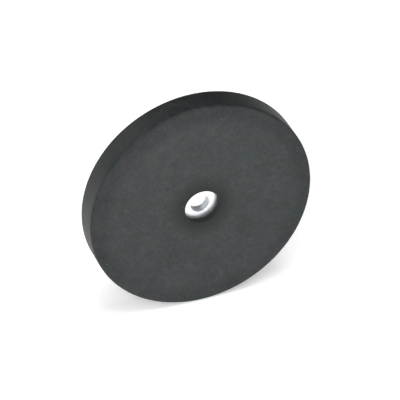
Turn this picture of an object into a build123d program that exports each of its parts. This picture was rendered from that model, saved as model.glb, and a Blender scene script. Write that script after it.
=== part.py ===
from build123d import *
import os

# Rubber-jacketed retaining magnet: a flat disc with a screw hole through its middle.
# A steel plate carries two rings of small disc magnets, and one moulded rubber jacket
# wraps them all, leaving only the plate's screw hole and the steel round it open.
#
# All sizes are in millimetres. Every piece is modelled lying flat, with the disc axis
# on Z, the mounting face on top and the middle of the thickness at Z = 0. At export
# each piece is turned so that the disc stands on its rim: the axis is then along Y,
# the mounting face looks towards -Y and the retaining face towards +Y.

# --- layers from the mounting face to the retaining face, which add up to the thickness
COVER_THICKNESS = 2.0        # rubber over the steel plate
PLATE_THICKNESS = 2.8
MAGNET_THICKNESS = 3.0
SKIN_THICKNESS = 0.7         # rubber between the magnets and the work
DISC_THICKNESS = COVER_THICKNESS + PLATE_THICKNESS + MAGNET_THICKNESS + SKIN_THICKNESS
DISC_RADIUS = 33.0

# --- steel plate
PLATE_RADIUS = 30.5
SCREW_HOLE_RADIUS = 2.75     # clearance hole for an M5 screw
PLATE_EDGE_BREAK = 0.25

# --- openings in the rubber round the screw hole
MOUNTING_MOUTH_RADIUS = 5.15
HEAD_RECESS_RADIUS = 6.0     # room for an M5 button head or a 10 mm washer
MOUTH_ROUNDING = 0.3

# --- moulded edges of the jacket
MOUNTING_EDGE_ROUNDING = 0.8
RETAINING_EDGE_ROUNDING = 0.6
SHOULDER_CORNER_RADIUS = 29.5   # the mounting face bends here and falls away to the rim
SHOULDER_DROP = 0.45
SHOULDER_ROUNDING = 36.0        # softens that bend over about 5 mm

# --- magnets: two rings of the same small disc
MAGNET_RADIUS = 5.0
MAGNET_EDGE_BREAK = 0.25
INNER_RING_RADIUS = 13.0
INNER_RING_COUNT = 6
OUTER_RING_RADIUS = 24.0
OUTER_RING_COUNT = 12
OUTER_RING_TURN = 15.0         # degrees, so that outer magnets sit between the inner ones

# --- levels along the disc axis
MOUNTING_LEVEL = DISC_THICKNESS / 2
RETAINING_LEVEL = -DISC_THICKNESS / 2
PLATE_FRONT_LEVEL = MOUNTING_LEVEL - COVER_THICKNESS
PLATE_BACK_LEVEL = PLATE_FRONT_LEVEL - PLATE_THICKNESS
MAGNET_BACK_LEVEL = PLATE_BACK_LEVEL - MAGNET_THICKNESS

STAND_ON_RIM = Rotation(90, 0, 0)
EDGE_SEARCH_GAP = 0.001


def make_disc(radius, thickness, middle_level, edge_break):
    """A round disc on Z with both outer edges broken by a small chamfer."""
    disc = Pos(0, 0, middle_level) * Cylinder(radius, thickness)
    return chamfer(disc.edges().filter_by(GeomType.CIRCLE), edge_break)


def make_steel_plate():
    """The steel disc that carries the magnets and takes the screw."""
    middle_level = (PLATE_FRONT_LEVEL + PLATE_BACK_LEVEL) / 2
    screw_hole = Pos(0, 0, middle_level) * Cylinder(SCREW_HOLE_RADIUS, PLATE_THICKNESS)
    plate = Pos(0, 0, middle_level) * Cylinder(PLATE_RADIUS, PLATE_THICKNESS) - screw_hole
    return chamfer(plate.edges().filter_by(GeomType.CIRCLE), PLATE_EDGE_BREAK)


def make_magnet_ring(count, ring_radius, first_angle):
    """The magnets of one ring, as separate discs that touch the plate's back."""
    middle_level = (PLATE_BACK_LEVEL + MAGNET_BACK_LEVEL) / 2
    magnet = make_disc(MAGNET_RADIUS, MAGNET_THICKNESS, middle_level, MAGNET_EDGE_BREAK)
    step = 360 / count
    return [Rotation(0, 0, first_angle + step * i) * Pos(ring_radius, 0, 0) * magnet
            for i in range(count)]


def circle_edge(solid, radius, level):
    """The round edge of a solid that has this radius and lies at this level."""
    return [edge for edge in solid.edges().filter_by(GeomType.CIRCLE)
            if abs(edge.radius - radius) < EDGE_SEARCH_GAP
            and abs(edge.arc_center.Z - level) < EDGE_SEARCH_GAP]


def make_rubber_jacket(let_in_pieces):
    """One moulding that fills everything round the pieces let into it."""
    shoulder_level = MOUNTING_LEVEL - SHOULDER_DROP
    section = [
        # radius, level
        (MOUNTING_MOUTH_RADIUS, PLATE_BACK_LEVEL),
        (MOUNTING_MOUTH_RADIUS, MOUNTING_LEVEL),
        (SHOULDER_CORNER_RADIUS, MOUNTING_LEVEL),
        (DISC_RADIUS, shoulder_level),
        (DISC_RADIUS, RETAINING_LEVEL),
        (HEAD_RECESS_RADIUS, RETAINING_LEVEL),
        (HEAD_RECESS_RADIUS, PLATE_BACK_LEVEL),
    ]
    roundings = [
        # radius and level of the edge, rounding
        (MOUNTING_MOUTH_RADIUS, MOUNTING_LEVEL, MOUTH_ROUNDING),
        (SHOULDER_CORNER_RADIUS, MOUNTING_LEVEL, SHOULDER_ROUNDING),
        (DISC_RADIUS, shoulder_level, MOUNTING_EDGE_ROUNDING),
        (DISC_RADIUS, RETAINING_LEVEL, RETAINING_EDGE_ROUNDING),
        (HEAD_RECESS_RADIUS, RETAINING_LEVEL, MOUTH_ROUNDING),
    ]
    outline = Polyline(*[(radius, 0, level) for radius, level in section], close=True)
    jacket = revolve(make_face(outline), Axis.Z)
    for radius, level, rounding in roundings:
        jacket = fillet(circle_edge(jacket, radius, level), rounding)
    for piece in let_in_pieces:
        jacket -= piece
    return jacket


steel_plate = make_steel_plate()
inner_magnets = make_magnet_ring(INNER_RING_COUNT, INNER_RING_RADIUS, 0)
outer_magnets = make_magnet_ring(OUTER_RING_COUNT, OUTER_RING_RADIUS, OUTER_RING_TURN)
rubber_jacket = make_rubber_jacket([steel_plate, *inner_magnets, *outer_magnets])

nodes = {"rubber_jacket": rubber_jacket, "steel_plate": steel_plate}
for number, magnet in enumerate(inner_magnets, start=1):
    nodes[f"inner_magnet_{number}"] = magnet
for number, magnet in enumerate(outer_magnets, start=1):
    nodes[f"outer_magnet_{number:02d}"] = magnet

os.makedirs("parts", exist_ok=True)
for name, piece in nodes.items():
    export_step(STAND_ON_RIM * piece, f"parts/{name}.step")
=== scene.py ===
"""The looks of a rubber-jacketed retaining magnet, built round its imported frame.

The disc stands on its rim: its axis lies along Y, the mounting face looks towards -Y and
the retaining face towards +Y. Lengths are in metres, and times MM in millimetres.
"""

import logging
import math
from dataclasses import dataclass, field
from enum import Enum

import bmesh
import bpy
import numpy as np
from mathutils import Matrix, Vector


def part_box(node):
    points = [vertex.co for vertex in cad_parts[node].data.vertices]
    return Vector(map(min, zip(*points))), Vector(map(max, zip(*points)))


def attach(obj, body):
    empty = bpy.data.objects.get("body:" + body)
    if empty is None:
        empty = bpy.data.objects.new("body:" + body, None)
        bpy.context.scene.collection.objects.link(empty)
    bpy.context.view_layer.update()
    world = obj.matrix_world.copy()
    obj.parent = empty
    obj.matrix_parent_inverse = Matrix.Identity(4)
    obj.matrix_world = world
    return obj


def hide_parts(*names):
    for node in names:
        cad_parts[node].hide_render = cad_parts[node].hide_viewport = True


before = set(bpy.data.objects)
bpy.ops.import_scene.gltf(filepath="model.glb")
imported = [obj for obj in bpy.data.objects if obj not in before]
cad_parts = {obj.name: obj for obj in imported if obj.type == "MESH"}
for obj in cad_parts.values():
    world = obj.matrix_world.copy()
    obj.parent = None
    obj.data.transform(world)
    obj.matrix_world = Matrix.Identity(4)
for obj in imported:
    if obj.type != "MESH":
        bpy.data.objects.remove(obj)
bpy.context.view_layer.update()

log = logging.getLogger("retaining_magnet")

MM = 0.001
ROOT_BODY = "root"
FULL_TURN = 2 * math.pi
ARC_STEP = math.radians(8)
ARC_LEAST_STEPS = 4
MERGE_DISTANCE = 0.001 * MM


class Slot(Enum):
    """The record's material slots."""

    RUBBER = "jacket_rubber"
    ZINC = "zinc_steel"


# --------------------------------------------------------------------------------------
# Surfaces
# --------------------------------------------------------------------------------------


def put_in_scene(name: str, data: bpy.types.ID | None) -> bpy.types.Object:
    """Makes an object of a mesh, light or camera, and links it into the scene.

    Args:
        name: name of the object.
        data: what the object shows.

    Returns:
        The new object, at the origin.
    """
    made = bpy.data.objects.new(name, data)
    bpy.context.scene.collection.objects.link(made)
    return made


def rounded_outline(
    corners: np.ndarray, roundings: np.ndarray, spacing: float
) -> np.ndarray:
    """A closed outline whose corners are arcs and whose straight runs are divided evenly.

    At each corner the arc touches both runs at rounding / tan(half the inner angle) from
    the corner, and turns at a constant rate from one run's direction to the next.

    Args:
        corners: (n, 2) corner points, in order round the outline.
        roundings: (n,) arc radii; a radius of 0 keeps the corner sharp.
        spacing: the longest step along a straight run.

    Returns:
        (m, 2) points round the outline, with the last one a step short of the first.
    """
    towards = np.roll(corners, -1, axis=0) - corners
    towards /= np.linalg.norm(towards, axis=1, keepdims=True)
    arriving = np.roll(towards, 1, axis=0)
    turn = np.arctan2(
        arriving[:, 0] * towards[:, 1] - arriving[:, 1] * towards[:, 0],
        np.sum(arriving * towards, axis=1),
    )
    reach = roundings * np.abs(np.tan(turn / 2))
    arcs = [
        corner_arc(corners[i], arriving[i], turn[i], roundings[i], reach[i])
        for i in range(len(corners))
    ]
    pieces = []
    for arc, following in zip(arcs, arcs[1:] + arcs[:1]):
        length = np.linalg.norm(following[0] - arc[-1])
        steps = max(1, math.ceil(length / spacing))
        share = np.linspace(0, 1, steps, endpoint=False)[1:, None]
        pieces += [arc, arc[-1] + share * (following[0] - arc[-1])]
    return np.vstack(pieces)


def corner_arc(
    corner: np.ndarray, arriving: np.ndarray, turn: float, rounding: float, reach: float
) -> np.ndarray:
    """The points of one rounded corner.

    Args:
        corner: where the two runs would meet.
        arriving: unit direction of the run that arrives.
        turn: angle from that run to the next, positive to the left.
        rounding: radius of the arc.
        reach: distance from the corner at which the arc begins.

    Returns:
        (n, 2) points, one for each ARC_STEP of turn, or just the corner if sharp.
    """
    if rounding == 0:
        return corner[None, :]
    steps = max(ARC_LEAST_STEPS, math.ceil(abs(turn) / ARC_STEP))
    turned = turn * np.linspace(0, 1, steps + 1)
    side = math.copysign(1.0, turn)
    left = np.array([-arriving[1], arriving[0]])
    along = rounding * np.abs(np.sin(turned))
    across = side * rounding * (1 - np.cos(turned))
    return corner - reach * arriving + along[:, None] * arriving + across[:, None] * left


def close_grid(name: str, grid: np.ndarray) -> bpy.types.Object:
    """A mesh over a grid of points that joins up with itself in both directions.

    Args:
        name: name of the object and its mesh.
        grid: (rows, columns, 3) points.

    Returns:
        The new smooth-shaded object, at the origin.
    """
    rows, columns = grid.shape[:2]
    index = np.arange(rows * columns).reshape(rows, columns)
    below = np.roll(index, -1, axis=0)
    faces = np.stack(
        [index, below, np.roll(below, -1, axis=1), np.roll(index, -1, axis=1)], axis=-1
    )
    mesh = bpy.data.meshes.new(name)
    mesh.from_pydata(grid.reshape(-1, 3), [], faces.reshape(-1, 4))
    mesh.polygons.foreach_set("use_smooth", np.ones(rows * columns, dtype=bool))
    mesh.update()
    return put_in_scene(name, mesh)


def turn_round_axis(
    radius: np.ndarray, depth: np.ndarray, angles: np.ndarray
) -> np.ndarray:
    """Points of an outline turned round the disc's axis.

    Point (i, j) is x = radius cos(angle j), y = depth, z = radius sin(angle j), where
    radius and depth are those of outline point i, and may also change with the angle.

    Args:
        radius: (rows, 1) or (rows, columns) distances from the axis.
        depth: the same shape, positions along the axis.
        angles: (columns,) angles round the axis.

    Returns:
        (rows, columns, 3) points.
    """
    shape = (len(radius), len(angles))
    return np.stack(
        [
            np.broadcast_to(radius * np.cos(angles), shape),
            np.broadcast_to(depth, shape),
            np.broadcast_to(radius * np.sin(angles), shape),
        ],
        axis=-1,
    )


def plug_mesh(name: str, grids: np.ndarray) -> bpy.types.Object:
    """Closed plugs, each turned from an open outline that begins and ends on its axis.

    Args:
        name: name of the object and its mesh.
        grids: (plugs, rows, columns, 3) points, whose first and last rows are one point.

    Returns:
        The new object, with its doubles merged.
    """
    plugs, rows, columns = grids.shape[:3]
    index = np.arange(plugs * rows * columns).reshape(plugs, rows, columns)
    here, after = index[:, :-1], index[:, 1:]
    faces = np.stack(
        [here, after, np.roll(after, -1, axis=2), np.roll(here, -1, axis=2)], axis=-1
    )
    mesh = bpy.data.meshes.new(name)
    mesh.from_pydata(grids.reshape(-1, 3), [], faces.reshape(-1, 4))
    shell = bmesh.new()
    shell.from_mesh(mesh)
    bmesh.ops.remove_doubles(shell, verts=shell.verts, dist=MERGE_DISTANCE)
    bmesh.ops.recalc_face_normals(shell, faces=shell.faces)
    shell.to_mesh(mesh)
    shell.free()
    return put_in_scene(name, mesh)


def bake_modifiers(piece: bpy.types.Object) -> None:
    """Replaces a piece's mesh by what its modifiers make of it, and removes them.

    Args:
        piece: the piece, whose modifiers are all applied.
    """
    graph = bpy.context.evaluated_depsgraph_get()
    finished = bpy.data.meshes.new_from_object(piece.evaluated_get(graph))
    piece.modifiers.clear()
    piece.data = finished


def smooth_step(value: np.ndarray, low: float, high: float) -> np.ndarray:
    """0 below low, 1 above high, and 3 t^2 - 2 t^3 between."""
    share = np.clip((value - low) / (high - low), 0, 1)
    return share * share * (3 - 2 * share)


# --------------------------------------------------------------------------------------
# Shader maths
# --------------------------------------------------------------------------------------


class Value:
    """A number that changes over a surface; arithmetic on it adds Math nodes."""

    def __init__(self, shader: "Shader", socket: bpy.types.NodeSocket) -> None:
        """Wraps an output socket of a shader's tree."""
        self.shader = shader
        self.socket = socket

    def maths(self, operation: str, *terms: "Value | float") -> "Value":
        """The result of one Math node.

        Args:
            operation: Blender's name of the operation.
            terms: the numbers or values it works on, in order.

        Returns:
            The result.
        """
        sockets = dict(enumerate(terms))
        made = self.shader.node("ShaderNodeMath", {"operation": operation}, sockets)
        return Value(self.shader, made.outputs[0])

    def __add__(self, other: "Value | float") -> "Value":
        """self + other."""
        return self.maths("ADD", self, other)

    def __radd__(self, other: float) -> "Value":
        """other + self."""
        return self.maths("ADD", other, self)

    def __sub__(self, other: "Value | float") -> "Value":
        """self - other."""
        return self.maths("SUBTRACT", self, other)

    def __rsub__(self, other: float) -> "Value":
        """other - self."""
        return self.maths("SUBTRACT", other, self)

    def __mul__(self, other: "Value | float") -> "Value":
        """self * other."""
        return self.maths("MULTIPLY", self, other)

    def __rmul__(self, other: float) -> "Value":
        """other * self."""
        return self.maths("MULTIPLY", other, self)

    def __truediv__(self, other: "Value | float") -> "Value":
        """self / other."""
        return self.maths("DIVIDE", self, other)

    def __pow__(self, other: float) -> "Value":
        """self to the power of other."""
        return self.maths("POWER", self, other)

    def magnitude(self) -> "Value":
        """The value without its sign."""
        return self.maths("ABSOLUTE", self)

    def rising(self, low: float, high: float) -> "Value":
        """A smooth rise from 0 to 1.

        Args:
            low: where the rise begins; below it the result is 0.
            high: where the rise ends; above it the result is 1.

        Returns:
            The risen value.
        """
        made = self.shader.node(
            "ShaderNodeMapRange",
            {"interpolation_type": "SMOOTHSTEP"},
            {"Value": self, "From Min": low, "From Max": high},
        )
        return Value(self.shader, made.outputs["Result"])


@dataclass(frozen=True)
class Grain:
    """One scale of noise: how big its features are, its detail and its roughness."""

    size: float
    detail: float = 2.0
    rough: float = 0.5


@dataclass(frozen=True)
class Specks:
    """Small round specks, one in some of the cells of an uneven lattice."""

    spacing: float
    share: float
    core: float = 0.03
    edge: float = 0.11
    choice_blur: float = 0.01


class Shader:
    """One material, with a Principled shader that its values and colours feed."""

    def __init__(self, name: str) -> None:
        """Makes a material with a Principled shader and nothing else.

        Args:
            name: name of the material.
        """
        self.material = bpy.data.materials.new(name)
        self.material.use_nodes = True
        self.tree = self.material.node_tree
        self.tree.nodes.clear()
        self.surface = self.node("ShaderNodeBsdfPrincipled")
        output = self.node("ShaderNodeOutputMaterial")
        self.feed(output.inputs["Surface"], self.surface.outputs["BSDF"])
        self.place = self.node("ShaderNodeTexCoord").outputs["Object"]

    def feed(self, socket: bpy.types.NodeSocket, value: object) -> None:
        """Links a Value or a socket to an input, or sets the input to a plain value.

        Args:
            socket: the input.
            value: a Value, an output socket, or a plain number, colour or vector.
        """
        if isinstance(value, Value):
            value = value.socket
        if isinstance(value, bpy.types.NodeSocket):
            self.tree.links.new(value, socket)
        else:
            socket.default_value = value

    def node(
        self,
        kind: str,
        settings: dict[str, object] | None = None,
        sockets: dict[str | int, object] | None = None,
    ) -> bpy.types.Node:
        """Adds a node.

        Args:
            kind: Blender's type name of the node.
            settings: attributes, set before the sockets are filled.
            sockets: values or links, by input name or number.

        Returns:
            The new node.
        """
        made = self.tree.nodes.new(kind)
        for name, value in (settings or {}).items():
            setattr(made, name, value)
        for name, value in (sockets or {}).items():
            self.feed(made.inputs[name], value)
        return made

    def noise(self, grain: Grain, place: bpy.types.NodeSocket | None = None) -> Value:
        """Cloudy noise from 0 to 1.

        Args:
            grain: the noise's scale and detail.
            place: the vector it is read at, or None for the place on the piece.

        Returns:
            The noise.
        """
        made = self.node(
            "ShaderNodeTexNoise",
            {"noise_dimensions": "3D"},
            {
                "Vector": place or self.place,
                "Scale": 1 / grain.size,
                "Detail": grain.detail,
                "Roughness": grain.rough,
            },
        )
        return Value(self, made.outputs["Fac"])

    def specks(self, kind: Specks) -> Value:
        """Scattered specks.

        Args:
            kind: how big the specks are and how many there are.

        Returns:
            1 in the middle of a speck, 0 between specks.
        """
        cells = self.node(
            "ShaderNodeTexVoronoi",
            {"feature": "F1"},
            {"Vector": self.place, "Scale": 1 / kind.spacing, "Randomness": 1.0},
        )
        draw = self.node("ShaderNodeSeparateColor", None, {"Color": cells.outputs["Color"]})
        near = 1 - Value(self, cells.outputs["Distance"]).rising(kind.core, kind.edge)
        least = 1 - kind.share
        chosen = Value(self, draw.outputs[0]).rising(least, least + kind.choice_blur)
        return near * chosen

    def turned_parts(self) -> tuple[Value, Value, Value, Value]:
        """The place on a turned piece.

        Returns:
            The distance from the disc's axis, the position along the axis, and the two
            parts, along X and Z, of the unit direction away from the axis.
        """
        parts = self.node("ShaderNodeSeparateXYZ", None, {0: self.place})
        across, along, up = (Value(self, parts.outputs[i]) for i in range(3))
        radius = (across * across + up * up) ** 0.5
        return radius, along, across / radius, up / radius

    def mix(self, factor: Value, first: object, second: object) -> bpy.types.NodeSocket:
        """A blend of two colours.

        Args:
            factor: 0 for the first colour, 1 for the second.
            first: a colour or a socket.
            second: a colour or a socket.

        Returns:
            The blended colour.
        """
        made = self.node(
            "ShaderNodeMix", {"data_type": "RGBA"}, {0: factor, 6: first, 7: second}
        )
        return made.outputs[2]

    def vector(self, x: object, y: object, z: object) -> bpy.types.NodeSocket:
        """A vector from three numbers."""
        return self.node("ShaderNodeCombineXYZ", None, {0: x, 1: y, 2: z}).outputs[0]

    def relief(self, height: Value, depth: float) -> bpy.types.NodeSocket:
        """A normal bent by a height from 0 to 1 that stands depth metres tall."""
        sockets = {"Height": height, "Distance": depth, "Strength": 1.0}
        return self.node("ShaderNodeBump", None, sockets).outputs["Normal"]

    def dress(self, **inputs: object) -> bpy.types.Material:
        """Feeds the Principled shader, with spaces in socket names as underscores.

        Args:
            inputs: values, colours or links, such as Base_Color or Roughness.

        Returns:
            The finished material.
        """
        for name, value in inputs.items():
            self.feed(self.surface.inputs[name.replace("_", " ")], value)
        return self.material


# --------------------------------------------------------------------------------------
# Finishes
# --------------------------------------------------------------------------------------

Colour = tuple[float, float, float, float]
Band = tuple[float, float]


@dataclass(frozen=True)
class MouldedRubber:
    """Matte black rubber from an eroded mould, with a faint cloudiness and dust."""

    dark: Colour = (0.0060, 0.0080, 0.0085, 1)
    light: Colour = (0.0290, 0.0300, 0.0315, 1)
    green: Colour = (0.0080, 0.0190, 0.0190, 1)
    # painted shade: the colour of the darker ring round both mouths of the hole
    painted_mouth_shade: Colour = (0.002, 0.002, 0.002, 1)
    # partly wear, partly a painted highlight: the colour of the lighter rim edges
    rubbed_and_highlit: Colour = (0.050, 0.052, 0.052, 1)
    dust: Colour = (0.20, 0.19, 0.15, 1)
    cloud: Grain = Grain(7 * MM, 4, 0.6)
    mottle: Grain = Grain(1.3 * MM, 3, 0.6)
    grain: Grain = Grain(0.32 * MM, 2, 0.6)
    cast: Grain = Grain(4 * MM, 4, 0.65)
    dust_specks: Specks = Specks(1.9 * MM, 0.10)
    tone_shares: tuple[float, float, float] = (0.3, 0.35, 0.35)
    tone_band: Band = (0.36, 0.64)
    cast_band: Band = (0.45, 0.65)
    cast_strength: float = 0.6
    halo_band: Band = (5.0 * MM, 11.5 * MM)
    halo_shade_strength: float = 0.7
    halo_coarseness: float = 0.18
    shoulder_band: Band = (26.0 * MM, 31.0 * MM)
    shoulder_depth_band: Band = (0.8, 0.88)
    shoulder_coarseness: float = 0.20
    worn_band: Band = (1.86, 1.99)  # share of the thickness plus share of the radius
    worn_cloud_band: Band = (0.36, 0.62)
    worn_and_highlit_strength: float = 0.5
    dust_strength: float = 0.5
    roughness: float = 0.54
    cloud_roughness: float = 0.14
    mottle_roughness: float = 0.16
    specular: float = 0.42
    relief_grain: float = 0.6
    relief_depth: float = 0.022 * MM
    rim_radius: float = 33.0 * MM
    half_thickness: float = 4.25 * MM

    def coarse_shoulder(self, radius: Value, along: Value) -> Value:
        """Where the mould's skin is coarser: the outer band of both faces, not the rim."""
        depth = along.magnitude() / self.half_thickness
        return radius.rising(*self.shoulder_band) * depth.rising(*self.shoulder_depth_band)

    def worn_and_highlit_edges(self, radius: Value, along: Value, cloud: Value) -> Value:
        """Lighter at the outermost half millimetre of both rim edges: partly rubbing,
        partly a painted highlight.
        """
        reach = along.magnitude() / self.half_thickness + radius / self.rim_radius
        return reach.rising(*self.worn_band) * cloud.rising(*self.worn_cloud_band)

    def material(self) -> bpy.types.Material:
        """The material, with painted shade round the mouths and a painted highlight on worn
        edges.

        The tone is a weighted sum of three scales of noise, with a greenish cast on a
        fourth. The roughness is the rubber's own, plus what each coarser place adds.

        Returns:
            The finished material.
        """
        shader = Shader("moulded_rubber")
        radius, along, _, _ = shader.turned_parts()
        cloud = shader.noise(self.cloud)
        mottle = shader.noise(self.mottle)
        grain = shader.noise(self.grain)
        cast = shader.noise(self.cast).rising(*self.cast_band) * self.cast_strength
        # halo: where painted shade darkens the rubber round the mouths, and where its skin
        # is coarser
        halo = 1 - radius.rising(*self.halo_band)
        worn = self.worn_and_highlit_edges(radius, along, cloud) * self.worn_and_highlit_strength
        dust = shader.specks(self.dust_specks) * self.dust_strength
        cloud_share, mottle_share, grain_share = self.tone_shares
        tone = cloud * cloud_share + mottle * mottle_share + grain * grain_share
        body = shader.mix(tone.rising(*self.tone_band), self.dark, self.light)
        body = shader.mix(cast, body, self.green)
        # painted shade round the mouths
        body = shader.mix(halo * self.halo_shade_strength, body, self.painted_mouth_shade)
        # rim edges lighter: partly wear, partly a painted highlight
        body = shader.mix(worn, body, self.rubbed_and_highlit)
        body = shader.mix(dust, body, self.dust)
        shoulder = self.coarse_shoulder(radius, along) * self.shoulder_coarseness
        unevenness = (
            (cloud - 0.5) * self.cloud_roughness + (mottle - 0.5) * self.mottle_roughness
        )
        height = grain * self.relief_grain + mottle * (1 - self.relief_grain)
        return shader.dress(
            Base_Color=body,
            Roughness=self.roughness + unevenness + halo * self.halo_coarseness + shoulder,
            Normal=shader.relief(height, self.relief_depth),
            Specular_IOR_Level=self.specular,
        )


@dataclass(frozen=True)
class BrightZinc:
    """Bright zinc plating over pressed steel, with the blue and violet of passivation."""

    bright: Colour = (0.93, 0.96, 0.97, 1)
    dull: Colour = (0.78, 0.82, 0.84, 1)
    tinted: Colour = (0.80, 0.82, 0.93, 1)
    cloud: Grain = Grain(1.6 * MM, 3, 0.6)
    blush: Grain = Grain(0.9 * MM, 2, 0.5)
    grain: Grain = Grain(0.12 * MM, 2, 0.6)
    rings: Grain = Grain(0.09 * MM, 2, 0.6)
    punch_lines: Grain = Grain(0.16 * MM, 2, 0.6)
    ring_drift: float = 0.1 * MM
    line_stretch: float = 0.06
    hole_radius: float = 2.75 * MM
    lip_radius: float = 2.9 * MM
    cloud_share: float = 0.6
    tone_band: Band = (0.3, 0.7)
    blush_band: Band = (0.5, 0.68)
    blush_strength: float = 0.6
    roughness: float = 0.22
    cloud_roughness: float = 0.14
    grain_roughness: float = 0.06
    hole_roughness: float = 0.28
    relief_tooling: float = 0.6
    relief_depth: float = 0.005 * MM

    def tooling(self, shader: Shader, in_hole: Value) -> Value:
        """The press's marks: rings on the flats and lines along the screw hole.

        Rings are noise that changes quickly with the radius and hardly with the angle.
        Punch lines are noise that changes round the hole and hardly along it.

        Args:
            shader: the material being made.
            in_hole: 1 on the hole's wall and 0 on the flats.

        Returns:
            The marks, from 0 to 1.
        """
        radius, along, across, up = shader.turned_parts()
        ring_place = shader.vector(radius, across * self.ring_drift, up * self.ring_drift)
        line_place = shader.vector(
            across * self.hole_radius, along * self.line_stretch, up * self.hole_radius
        )
        rings = shader.noise(self.rings, ring_place)
        lines = shader.noise(self.punch_lines, line_place)
        return rings * (1 - in_hole) + lines * in_hole

    def material(self) -> bpy.types.Material:
        """The material, clouded, tinted in places and rougher inside the screw hole.

        Returns:
            The finished material.
        """
        shader = Shader("bright_zinc")
        radius = shader.turned_parts()[0]
        in_hole = 1 - radius.rising(self.hole_radius, self.lip_radius)
        cloud = shader.noise(self.cloud)
        blush = shader.noise(self.blush).rising(*self.blush_band) * self.blush_strength
        grain = shader.noise(self.grain)
        tooling = self.tooling(shader, in_hole)
        tone = cloud * self.cloud_share + tooling * (1 - self.cloud_share)
        body = shader.mix(tone.rising(*self.tone_band), self.dull, self.bright)
        rough = (
            self.roughness + cloud * self.cloud_roughness
            + grain * self.grain_roughness + in_hole * self.hole_roughness
        )
        height = tooling * self.relief_tooling + grain * (1 - self.relief_tooling)
        return shader.dress(
            Base_Color=shader.mix(blush, body, self.tinted),
            Metallic=1.0,
            Roughness=rough,
            Normal=shader.relief(height, self.relief_depth),
        )


@dataclass(frozen=True)
class Nickel:
    """Nickel plating on a sintered magnet: warm, bright and faintly clouded."""

    bright: Colour = (0.72, 0.70, 0.66, 1)
    clouded: Colour = (0.58, 0.55, 0.50, 1)
    cloud: Grain = Grain(2.2 * MM, 3, 0.55)
    peel: Grain = Grain(0.5 * MM, 2, 0.5)
    cloud_band: Band = (0.35, 0.7)
    roughness: float = 0.16
    cloud_roughness: float = 0.12
    relief_depth: float = 0.01 * MM

    def material(self) -> bpy.types.Material:
        """The material, with the plating's shallow orange peel.

        Returns:
            The finished material.
        """
        shader = Shader("nickel_plate")
        cloud = shader.noise(self.cloud)
        body = shader.mix(cloud.rising(*self.cloud_band), self.bright, self.clouded)
        return shader.dress(
            Base_Color=body,
            Metallic=1.0,
            Roughness=self.roughness + cloud * self.cloud_roughness,
            Normal=shader.relief(shader.noise(self.peel), self.relief_depth),
        )


@dataclass(frozen=True)
class LitTable:
    """The white table that the disc stands on, which glows as well as being lit from above,
    with a painted shadow near the disc.
    """

    white: Colour = (0.9, 0.9, 0.9, 1)
    tooth: Grain = Grain(1.5 * MM, 2, 0.5)
    relief_depth: float = 0.01 * MM
    roughness: float = 0.9
    glow: float = 0.50
    glow_colour: Colour = (1, 1, 1, 1)
    # painted shadow: the glow's colour at the darkest part of a contact shadow painted near
    # the disc
    shade: Colour = (0.15, 0.15, 0.16, 1)
    shade_length: float = 26.0 * MM
    shade_width: float = 13.0 * MM
    shade_middle: float = 7.0 * MM
    shade_end: float = 1.3

    def outside_painted_shadow(self, shader: Shader) -> Value:
        """How far the table's glow is left clear of the painted shadow near the disc.

        It rises with the distance from a spot just behind the rim's lowest point, counted
        in lengths of an oval that lies along the disc.

        Args:
            shader: the material being made.

        Returns:
            0 at that spot, the painted shadow's darkest part, 1 where the glow is full.
        """
        parts = shader.node("ShaderNodeSeparateXYZ", None, {0: shader.place})
        across = Value(shader, parts.outputs["X"]) / self.shade_length
        along = (Value(shader, parts.outputs["Y"]) - self.shade_middle) / self.shade_width
        return ((across * across + along * along) ** 0.5).rising(0.0, self.shade_end)

    def material(self) -> bpy.types.Material:
        """The material, with the faintest tooth and a painted shadow in its glow under the
        disc.

        Returns:
            The finished material.
        """
        shader = Shader("white_table")
        clear = self.outside_painted_shadow(shader)
        return shader.dress(
            Base_Color=self.white,
            Roughness=self.roughness,
            Normal=shader.relief(shader.noise(self.tooth), self.relief_depth),
            # painted shadow: the glow dims towards the disc
            Emission_Color=shader.mix(clear, self.shade, self.glow_colour),
            Emission_Strength=self.glow,
        )


def dress(piece: bpy.types.Object, material: bpy.types.Material) -> None:
    """Gives a piece one material in every slot it has, or in a new one.

    Args:
        piece: a new piece or a node of the frame.
        material: its finish.
    """
    if not piece.data.materials:
        piece.data.materials.append(material)
    for slot in piece.material_slots:
        slot.link = "OBJECT"
        slot.material = material


# --------------------------------------------------------------------------------------
# Sub-assemblies
# --------------------------------------------------------------------------------------


def stand_in_for(piece: bpy.types.Object, node: str) -> None:
    """Puts a piece on the body in the place of a CAD node.

    Args:
        piece: the new piece.
        node: the CAD node that it stands for.
    """
    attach(piece, ROOT_BODY)
    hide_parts(node)


def turned_piece(
    name: str, corners: np.ndarray, spacing: float, columns: int
) -> bpy.types.Object:
    """A piece turned from a rounded section.

    Args:
        name: name of the piece.
        corners: (n, 3) rows of radius, depth and rounding, in order round the section.
        spacing: the longest step along a straight run of the section.
        columns: number of steps round the axis.

    Returns:
        The new object.
    """
    outline = rounded_outline(corners[:, :2], corners[:, 2], spacing)
    angles = np.linspace(0, FULL_TURN, columns, endpoint=False)
    return close_grid(name, turn_round_axis(outline[:, :1], outline[:, 1:], angles))


def magnet_nodes() -> dict[str, bpy.types.Object]:
    """The frame's magnets, by name."""
    return {name: node for name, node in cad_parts.items() if "magnet" in name}


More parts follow.
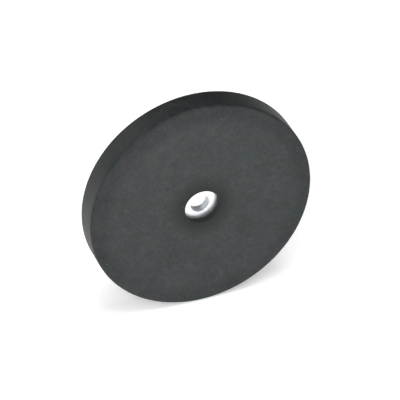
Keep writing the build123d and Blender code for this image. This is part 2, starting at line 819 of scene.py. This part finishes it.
@dataclass
class RubberJacket:
    """The one moulding that wraps the plate and the magnets."""

    columns: int = 300
    spacing: float = 0.55 * MM
    mouth_radius: float = 5.15 * MM
    recess_radius: float = 6.0 * MM
    mouth_rounding: float = 0.3 * MM
    mounting_edge_rounding: float = 0.8 * MM
    retaining_edge_rounding: float = 0.6 * MM
    shoulder_corner_radius: float = 29.5 * MM
    shoulder_drop: float = 0.45 * MM
    shoulder_rounding: float = 36.0 * MM
    waviness: float = 0.012 * MM
    # each wave's radians per metre across and up, and where it starts
    waves: tuple[tuple[float, float, float], ...] = ((210, 130, 0), (-240, 170, 2))
    sink: float = 0.03 * MM
    # distances over which the sink fades: from a magnet, the plate's rim and the recess
    sink_band: Band = (-0.2 * MM, 1.3 * MM)
    sink_rim_band: Band = (-1.5 * MM, 0.5 * MM)
    sink_mouth_band: Band = (0.3 * MM, 1.5 * MM)
    face_skin: float = 0.1 * MM
    magnet_radius: float = 5.0 * MM
    pocket_columns: int = 48
    pocket_overlap: float = 0.5 * MM
    finish: MouldedRubber = field(default_factory=MouldedRubber)

    def section(self) -> np.ndarray:
        """Half the jacket's section, wrapped round the plate.

        Returns:
            (9, 3) rows of radius, depth and rounding, in order round the section.
        """
        low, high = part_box("rubber_jacket")
        plate_low, plate_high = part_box("steel_plate")
        return np.array([
            (self.mouth_radius, plate_low.y, 0.0),
            (self.mouth_radius, low.y, self.mouth_rounding),
            (self.shoulder_corner_radius, low.y, self.shoulder_rounding),
            (high.x, low.y + self.shoulder_drop, self.mounting_edge_rounding),
            (high.x, high.y, self.retaining_edge_rounding),
            (self.recess_radius, high.y, self.mouth_rounding),
            (self.recess_radius, plate_high.y, 0.0),
            (plate_high.x, plate_high.y, 0.0),
            (plate_high.x, plate_low.y, 0.0),
        ])

    def settle(self, piece: bpy.types.Object) -> None:
        """Gives both faces the small unevenness of a moulding, always inwards.

        Args:
            piece: the jacket, whose points are moved along the disc's axis.
        """
        mesh = piece.data
        points = np.empty(len(mesh.vertices) * 3)
        mesh.vertices.foreach_get("co", points)
        points = points.reshape(-1, 3)
        across, depth, up = points.T
        depth -= self.wave_depth(across, depth, up)
        depth -= self.sink_depth(across, depth, up)
        mesh.vertices.foreach_set("co", points.ravel())
        mesh.update()

    def wave_depth(
        self, across: np.ndarray, depth: np.ndarray, up: np.ndarray
    ) -> np.ndarray:
        """How far each point of a face lies in, from slow waves.

        Each wave is half of 1 + cos(a across + b up + c), and the depth is their mean
        times the waviness on a face, falling to 0 at the plate.

        Args:
            across: (n,) places along X.
            depth: (n,) places along the disc's axis.
            up: (n,) places along Z.

        Returns:
            (n,) moves along the axis, with the sign of the side that each point is on.
        """
        waves = [(1 + np.cos(a * across + b * up + c)) / 2 for a, b, c in self.waves]
        plate_side = abs(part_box("steel_plate")[0].y)
        outside = smooth_step(np.abs(depth), plate_side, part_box("rubber_jacket")[1].y)
        return np.sign(depth) * outside * self.waviness * np.mean(waves, axis=0)

    def sink_depth(
        self, across: np.ndarray, depth: np.ndarray, up: np.ndarray
    ) -> np.ndarray:
        """How far each point of the retaining face has sunk between the magnets.

        The rubber is thicker there and shrinks more: nothing over a magnet, and the full
        sink a little way from the nearest one, fading out at the rim and the mouth.

        Args:
            across: (n,) places along X.
            depth: (n,) places along the disc's axis.
            up: (n,) places along Z.

        Returns:
            (n,) moves along the axis.
        """
        plate_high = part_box("steel_plate")[1]
        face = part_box("rubber_jacket")[1].y
        boxes = [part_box(name) for name in magnet_nodes()]
        middles = np.array([((a.x + b.x) / 2, (a.z + b.z) / 2) for a, b in boxes])
        gaps = np.hypot(across[:, None] - middles[:, 0], up[:, None] - middles[:, 1])
        gap = gaps.min(axis=1) - self.magnet_radius
        radius = np.hypot(across, up)
        bare = smooth_step(gap, *self.sink_band)
        inside = 1 - smooth_step(radius - plate_high.x, *self.sink_rim_band)
        mouth = smooth_step(radius - self.recess_radius, *self.sink_mouth_band)
        facing = smooth_step(depth, plate_high.y, face - self.face_skin)
        return self.sink * bare * inside * mouth * facing

    def cut_pockets(self, piece: bpy.types.Object) -> None:
        """Hollows out the room that each magnet takes, open towards the plate.

        Args:
            piece: the jacket, which is left with a plain mesh.
        """
        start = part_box("steel_plate")[1].y - self.pocket_overlap
        angles = np.linspace(0, FULL_TURN, self.pocket_columns, endpoint=False)
        cutters = []
        for name in magnet_nodes():
            low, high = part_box(name)
            reach = (high.x - low.x) / 2
            corners = np.array([(0, start), (reach, start), (reach, high.y), (0, high.y)])
            grid = turn_round_axis(corners[:, :1], corners[:, 1:], angles)
            cutters.append(grid + [(low.x + high.x) / 2, 0, (low.z + high.z) / 2])
        tool = plug_mesh("pocket_cutter", np.array(cutters))
        cut = piece.modifiers.new("pockets", "BOOLEAN")
        cut.operation = "DIFFERENCE"
        cut.solver = "EXACT"
        cut.object = tool
        bake_modifiers(piece)
        bpy.data.objects.remove(tool)

    def build(self) -> bpy.types.Object:
        """Makes the jacket and puts it in the CAD jacket's place.

        Returns:
            The jacket.
        """
        piece = turned_piece("jacket_moulding", self.section(), self.spacing, self.columns)
        self.settle(piece)
        self.cut_pockets(piece)
        dress(piece, self.finish.material())
        stand_in_for(piece, "rubber_jacket")
        return piece


@dataclass
class SteelPlate:
    """The punched steel plate, of which only the middle shows."""

    columns: int = 240
    spacing: float = 0.5 * MM
    hole_radius: float = 2.75 * MM
    entry_rounding: float = 0.14 * MM
    exit_rounding: float = 0.08 * MM
    rim_rounding: float = 0.25 * MM
    finish: BrightZinc = field(default_factory=BrightZinc)

    def section(self) -> np.ndarray:
        """Half the plate's section, with the punch's softer entry.

        Returns:
            (4, 3) rows of radius, depth and rounding, in order round the section.
        """
        low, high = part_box("steel_plate")
        return np.array([
            (self.hole_radius, high.y, self.exit_rounding),
            (self.hole_radius, low.y, self.entry_rounding),
            (high.x, low.y, self.rim_rounding),
            (high.x, high.y, self.rim_rounding),
        ])

    def build(self) -> bpy.types.Object:
        """Makes the plate and puts it in the CAD plate's place.

        Returns:
            The plate.
        """
        piece = turned_piece("punched_plate", self.section(), self.spacing, self.columns)
        dress(piece, self.finish.material())
        stand_in_for(piece, "steel_plate")
        return piece


@dataclass
class MagnetRings:
    """The two rings of small magnets, which keep their CAD shapes."""

    finish: Nickel = field(default_factory=Nickel)

    def build(self) -> list[bpy.types.Object]:
        """Plates every magnet of the frame with nickel.

        Returns:
            The magnets.
        """
        material = self.finish.material()
        magnets = list(magnet_nodes().values())
        for magnet in magnets:
            dress(magnet, material)
        return magnets


# --------------------------------------------------------------------------------------
# Studio
# --------------------------------------------------------------------------------------


def direction(azimuth: float, elevation: float) -> Vector:
    """Unit vector towards a viewer; azimuth 0 stands in front, at -Y, and 90 at +X."""
    a, e = math.radians(azimuth), math.radians(elevation)
    return Vector((math.sin(a) * math.cos(e), -math.cos(a) * math.cos(e), math.sin(e)))


@dataclass(frozen=True)
class SoftBox:
    """An oblong soft light that faces the disc, and isn't itself in view."""

    name: str
    azimuth: float
    elevation: float
    power: float
    width: float = 0.6
    height: float = 0.6
    distance: float = 1.0

    def build(self) -> bpy.types.Object:
        """Hangs the light in its place.

        Returns:
            The light.
        """
        data = bpy.data.lights.new(self.name, "AREA")
        data.shape = "RECTANGLE"
        data.size, data.size_y = self.width, self.height
        data.energy = self.power
        made = put_in_scene(self.name, data)
        away = direction(self.azimuth, self.elevation)
        made.location = away * self.distance
        made.rotation_euler = away.to_track_quat("Z", "Y").to_euler()
        made.visible_camera = False
        return made


@dataclass
class Studio:
    """A lit white table, a dim surround, soft boxes and a long lens."""

    floor_half: float = 3.0
    walls: float = 0.8
    ceiling: float = 0.10
    wall_top: float = 0.03
    ceiling_start: float = 0.09
    lens: float = 270.0
    nearest: float = 0.05
    farthest: float = 20.0
    azimuth: float = -21.18
    elevation: float = 35.79
    distance: float = 837.6 * MM
    aim_right: float = -0.73 * MM
    aim_up: float = 2.01 * MM
    table: LitTable = field(default_factory=LitTable)
    boxes: tuple[SoftBox, ...] = (
        SoftBox("front_box", -40.0, 35.0, 5.0),
        SoftBox("top_box", 0.0, 80.0, 4.6, width=0.6, height=0.5),
        SoftBox("table_strip", 2.0, -1.0, 0.18, width=0.35, height=0.06, distance=0.2),
        SoftBox("back_box", -150.0, 26.0, 1.0, width=0.35, height=0.35),
    )

    def build_floor(self) -> bpy.types.Object:
        """Lays the table at the height of the rim's lowest point.

        Returns:
            The table.
        """
        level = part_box("rubber_jacket")[0].z
        signs = [(-1, -1), (1, -1), (1, 1), (-1, 1)]
        corners = [(self.floor_half * x, self.floor_half * y, level) for x, y in signs]
        mesh = bpy.data.meshes.new("table")
        mesh.from_pydata(corners, [], [(0, 1, 2, 3)])
        floor = put_in_scene("table", mesh)
        dress(floor, self.table.material())
        return floor

    def build_surround(self) -> None:
        """Sets the light from all round: pale walls up to a low height, dim above them."""
        world = bpy.data.worlds.new("surround")
        world.use_nodes = True
        nodes, links = world.node_tree.nodes, world.node_tree.links
        parts = nodes.new("ShaderNodeSeparateXYZ")
        links.new(nodes.new("ShaderNodeTexCoord").outputs["Generated"], parts.inputs[0])
        fade = nodes.new("ShaderNodeMapRange")
        fade.interpolation_type = "SMOOTHSTEP"
        heights = {
            "From Min": self.wall_top,
            "From Max": self.ceiling_start,
            "To Min": self.walls,
            "To Max": self.ceiling,
        }
        for name, value in heights.items():
            fade.inputs[name].default_value = value
        links.new(parts.outputs["Z"], fade.inputs["Value"])
        background = nodes["Background"]
        background.inputs["Color"].default_value = (1, 1, 1, 1)
        links.new(fade.outputs["Result"], background.inputs["Strength"])
        bpy.context.scene.world = world

    def build_camera(self) -> bpy.types.Object:
        """Points the camera at a spot beside the middle of the mounting face.

        Returns:
            The camera.
        """
        data = bpy.data.cameras.new("camera")
        data.lens = self.lens
        data.clip_start, data.clip_end = self.nearest, self.farthest
        camera = put_in_scene("camera", data)
        back = direction(self.azimuth, self.elevation)
        turn = back.to_track_quat("Z", "Y")
        aim = turn @ Vector((self.aim_right, self.aim_up, 0))
        face = Vector((0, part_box("rubber_jacket")[0].y, 0))
        camera.location = face + aim + back * self.distance
        camera.rotation_mode = "QUATERNION"
        camera.rotation_quaternion = turn
        bpy.context.scene.camera = camera
        return camera

    def build(self) -> None:
        """Sets up the whole studio."""
        self.build_floor()
        self.build_surround()
        self.build_camera()
        for box in self.boxes:
            box.build()
        bpy.context.scene.view_settings.view_transform = "Standard"


def main() -> None:
    """Builds the pieces in order and reports each."""
    logging.basicConfig(level=logging.INFO, format="%(message)s")
    jacket = RubberJacket().build()
    log.info("jacket: %d faces", len(jacket.data.polygons))
    plate = SteelPlate().build()
    log.info("plate: %d faces", len(plate.data.polygons))
    magnets = MagnetRings().build()
    log.info("magnets: %d", len(magnets))
    Studio().build()


if __name__ == "__main__":
    main()
